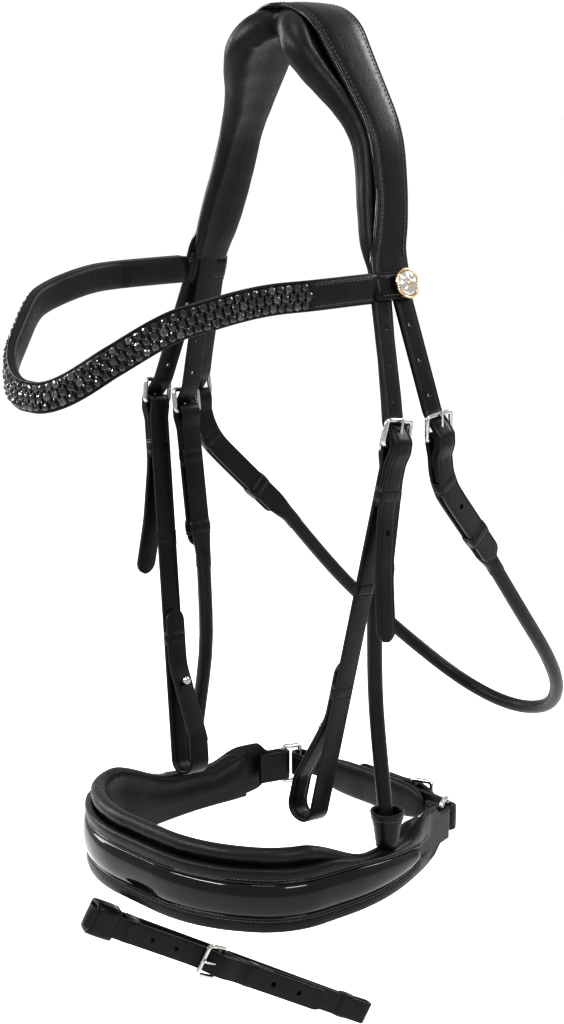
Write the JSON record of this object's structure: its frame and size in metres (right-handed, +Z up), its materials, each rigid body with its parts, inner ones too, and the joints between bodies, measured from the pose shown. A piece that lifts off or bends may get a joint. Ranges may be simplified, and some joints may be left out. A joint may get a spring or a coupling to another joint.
{
  "type": "snaffle bridle",
  "caption": "Leather bridle for a horse: padded headpiece, bowed browband with crystals, cheekpieces with bit loops, rolled throatlash, padded crank noseband and flash strap.",
  "frame": {"origin": "on the poll, at the underside of the headpiece pad, in the middle of the bridle and at the pad's front edge", "axes": "+Z up, the horse's nose towards -Y, the near side (the horse's left) at +X"},
  "size_m": [0.22, 0.3949, 0.6053],
  "materials": {
    "strap_leather": "semi-matt black bridle leather",
    "rolled_leather": "rolled black leather, soft sheen",
    "padded_leather": "soft padded black leather",
    "patent_leather": "glossy patent",
    "buckle_metal": "polished stainless steel",
    "stud_metal": "polished",
    "badge_metal": "domed, polished",
    "crystal": "faceted jet"
  },
  "bodies": {
    "headpiece": {"crown_strap": "strap_leather", "crown_pad": "padded_leather", "sliphead": "strap_leather", "cheek_buckle_near": "buckle_metal", "cheek_buckle_far": "buckle_metal", "hanger_buckles": "buckle_metal", "throat_buckles": "buckle_metal", "hanger_flat_near": "strap_leather", "hanger_flat_far": "strap_leather", "throat_flat_near": "strap_leather", "throat_flat_far": "strap_leather", "hanger_billets": "strap_leather", "throat_billets": "strap_leather", "hanger_keepers": "strap_leather", "throat_keepers": "strap_leather"},
    "browband": {"browband_strap": "strap_leather", "browband_crystals": "crystal", "browband_loops": "strap_leather", "browband_badges": "badge_metal"},
    "cheek_near": {"cheekpiece_near": "strap_leather", "cheek_billet_near": "strap_leather", "cheek_keeper_near": "strap_leather", "bit_keeper_near": "strap_leather", "hook_stud_near": "stud_metal"},
    "cheek_runner_near": {"cheek_runner_near": "strap_leather"},
    "cheek_tongue_near": {"cheek_tongue_near": "buckle_metal"},
    "cheek_far": {"cheekpiece_far": "strap_leather", "cheek_billet_far": "strap_leather", "cheek_keeper_far": "strap_leather", "bit_keeper_far": "strap_leather", "hook_stud_far": "stud_metal"},
    "cheek_runner_far": {"cheek_runner_far": "strap_leather"},
    "cheek_tongue_far": {"cheek_tongue_far": "buckle_metal"},
    "hanger_tongue_near": {"hanger_tongue_near": "buckle_metal"},
    "hanger_runner_near": {"hanger_runner_near": "strap_leather"},
    "hanger_tongue_far": {"hanger_tongue_far": "buckle_metal"},
    "hanger_runner_far": {"hanger_runner_far": "strap_leather"},
    "throat_tongue_near": {"throat_tongue_near": "buckle_metal"},
    "throat_runner_near": {"throat_runner_near": "strap_leather"},
    "throat_tongue_far": {"throat_tongue_far": "buckle_metal"},
    "throat_runner_far": {"throat_runner_far": "strap_leather"},
    "hangers": {"hanger_rolls": "rolled_leather"},
    "noseband": {"noseband_leather": "strap_leather", "noseband_pad": "padded_leather", "noseband_patent": "patent_leather", "hanger_collars": "strap_leather", "crank_squares": "buckle_metal", "flash_tab": "strap_leather"},
    "chin": {"chin_strap": "strap_leather", "chin_pad": "padded_leather", "chin_billet": "strap_leather", "chin_buckle": "buckle_metal", "chin_chape": "strap_leather", "chin_keeper": "strap_leather"},
    "chin_tongue": {"chin_tongue": "buckle_metal"},
    "flash": {"flash_strap": "strap_leather", "flash_buckle": "buckle_metal", "flash_keepers": "strap_leather"},
    "flash_tongue": {"flash_tongue": "buckle_metal"},
    "throatlash": {"throatlash_roll": "rolled_leather"}
  },
  "joints": [
    {"name": "browband_slide", "type": "slide", "parent": "headpiece", "child": "browband", "axis": [0, 0, 1], "range_m": [-0.004, 0.004]},
    {"name": "cheek_swing_near", "type": "hinge", "parent": "headpiece", "child": "cheek_near", "pos_m": [0.1024, -0.0061, -0.2235], "axis": [0, -0.9882, 0.1533], "range_deg": [-2.5, 5]},
    {"name": "cheek_runner_slide_near", "type": "slide", "parent": "cheek_near", "child": "cheek_runner_near", "axis": [-0.1784, -0.0782, -0.9808], "range_m": [-0.015, 0.025]},
    {"name": "cheek_tongue_lift_near", "type": "hinge", "parent": "headpiece", "child": "cheek_tongue_near", "pos_m": [0.1024, -0.0061, -0.2235], "axis": [0, 0.9882, -0.1533], "range_deg": [0, 6]},
    {"name": "cheek_swing_far", "type": "hinge", "parent": "headpiece", "child": "cheek_far", "pos_m": [-0.1024, -0.0061, -0.2235], "axis": [0, 0.9882, -0.1533], "range_deg": [-2.5, 5]},
    {"name": "cheek_runner_slide_far", "type": "slide", "parent": "cheek_far", "child": "cheek_runner_far", "axis": [0.1784, -0.0782, -0.9808], "range_m": [-0.015, 0.025]},
    {"name": "cheek_tongue_lift_far", "type": "hinge", "parent": "headpiece", "child": "cheek_tongue_far", "pos_m": [-0.1024, -0.0061, -0.2235], "axis": [0, -0.9882, 0.1533], "range_deg": [0, 6]},
    {"name": "hanger_tongue_lift_near", "type": "hinge", "parent": "headpiece", "child": "hanger_tongue_near", "pos_m": [0.088, 0.0065, -0.229], "axis": [0, 0.9984, -0.057], "range_deg": [0, 6]},
    {"name": "hanger_runner_slide_near", "type": "slide", "parent": "headpiece", "child": "hanger_runner_near", "axis": [-0.1336, 0.0056, -0.991], "range_m": [-0.015, 0]},
    {"name": "hanger_tongue_lift_far", "type": "hinge", "parent": "headpiece", "child": "hanger_tongue_far", "pos_m": [-0.088, 0.0065, -0.229], "axis": [0, -0.9984, 0.057], "range_deg": [0, 6]},
    {"name": "hanger_runner_slide_far", "type": "slide", "parent": "headpiece", "child": "hanger_runner_far", "axis": [0.1336, 0.0056, -0.991], "range_m": [-0.015, 0]},
    {"name": "throat_tongue_lift_near", "type": "hinge", "parent": "headpiece", "child": "throat_tongue_near", "pos_m": [0.1024, 0.028, -0.2235], "axis": [0, 0.9956, 0.0941], "range_deg": [0, 6]},
    {"name": "throat_runner_slide_near", "type": "slide", "parent": "headpiece", "child": "throat_runner_near", "axis": [-0.1247, 0.7074, -0.6957], "range_m": [-0.015, 0.008]},
    {"name": "throat_tongue_lift_far", "type": "hinge", "parent": "headpiece", "child": "throat_tongue_far", "pos_m": [-0.1024, 0.028, -0.2235], "axis": [0, -0.9956, -0.0941], "range_deg": [0, 6]},
    {"name": "throat_runner_slide_far", "type": "slide", "parent": "headpiece", "child": "throat_runner_far", "axis": [0.1247, 0.7074, -0.6957], "range_m": [-0.015, 0.008]},
    {"name": "hanger_swing", "type": "hinge", "parent": "headpiece", "child": "hangers", "pos_m": [0, 0.00699, -0.31604], "axis": [1, 0, 0], "range_deg": [-10, 12], "stiffness_Nm_per_rad": 0.6, "springref_deg": -8.5},
    {"name": "noseband_tilt", "type": "hinge", "parent": "hangers", "child": "noseband", "pos_m": [0, 0.007, -0.452], "axis": [1, 0, 0], "range_deg": [-6, 6]},
    {"name": "chin_strap_tilt", "type": "hinge", "parent": "noseband", "child": "chin", "pos_m": [0, 0.08051, -0.468], "axis": [1, 0, 0], "range_deg": [-8, 8]},
    {"name": "chin_tongue_lift", "type": "hinge", "parent": "chin", "child": "chin_tongue", "pos_m": [0.024, 0.09331, -0.468], "axis": [0, 0, 1], "range_deg": [0, 6]},
    {"name": "flash_swing", "type": "hinge", "parent": "noseband", "child": "flash", "pos_m": [-0.02, -0.118, -0.504], "axis": [0.9176, -0.3976, 0], "range_deg": [-8, 8]},
    {"name": "flash_tongue_lift", "type": "hinge", "parent": "flash", "child": "flash_tongue", "pos_m": [0.01236, -0.05641, -0.53965], "axis": [0.1817, 0.4194, 0.8895], "range_deg": [0, 6]},
    {"name": "throatlash_swing", "type": "hinge", "parent": "headpiece", "child": "throatlash", "pos_m": [0, 0.0902, -0.30627], "axis": [1, 0, 0], "range_deg": [-12, 20]}
  ]
}
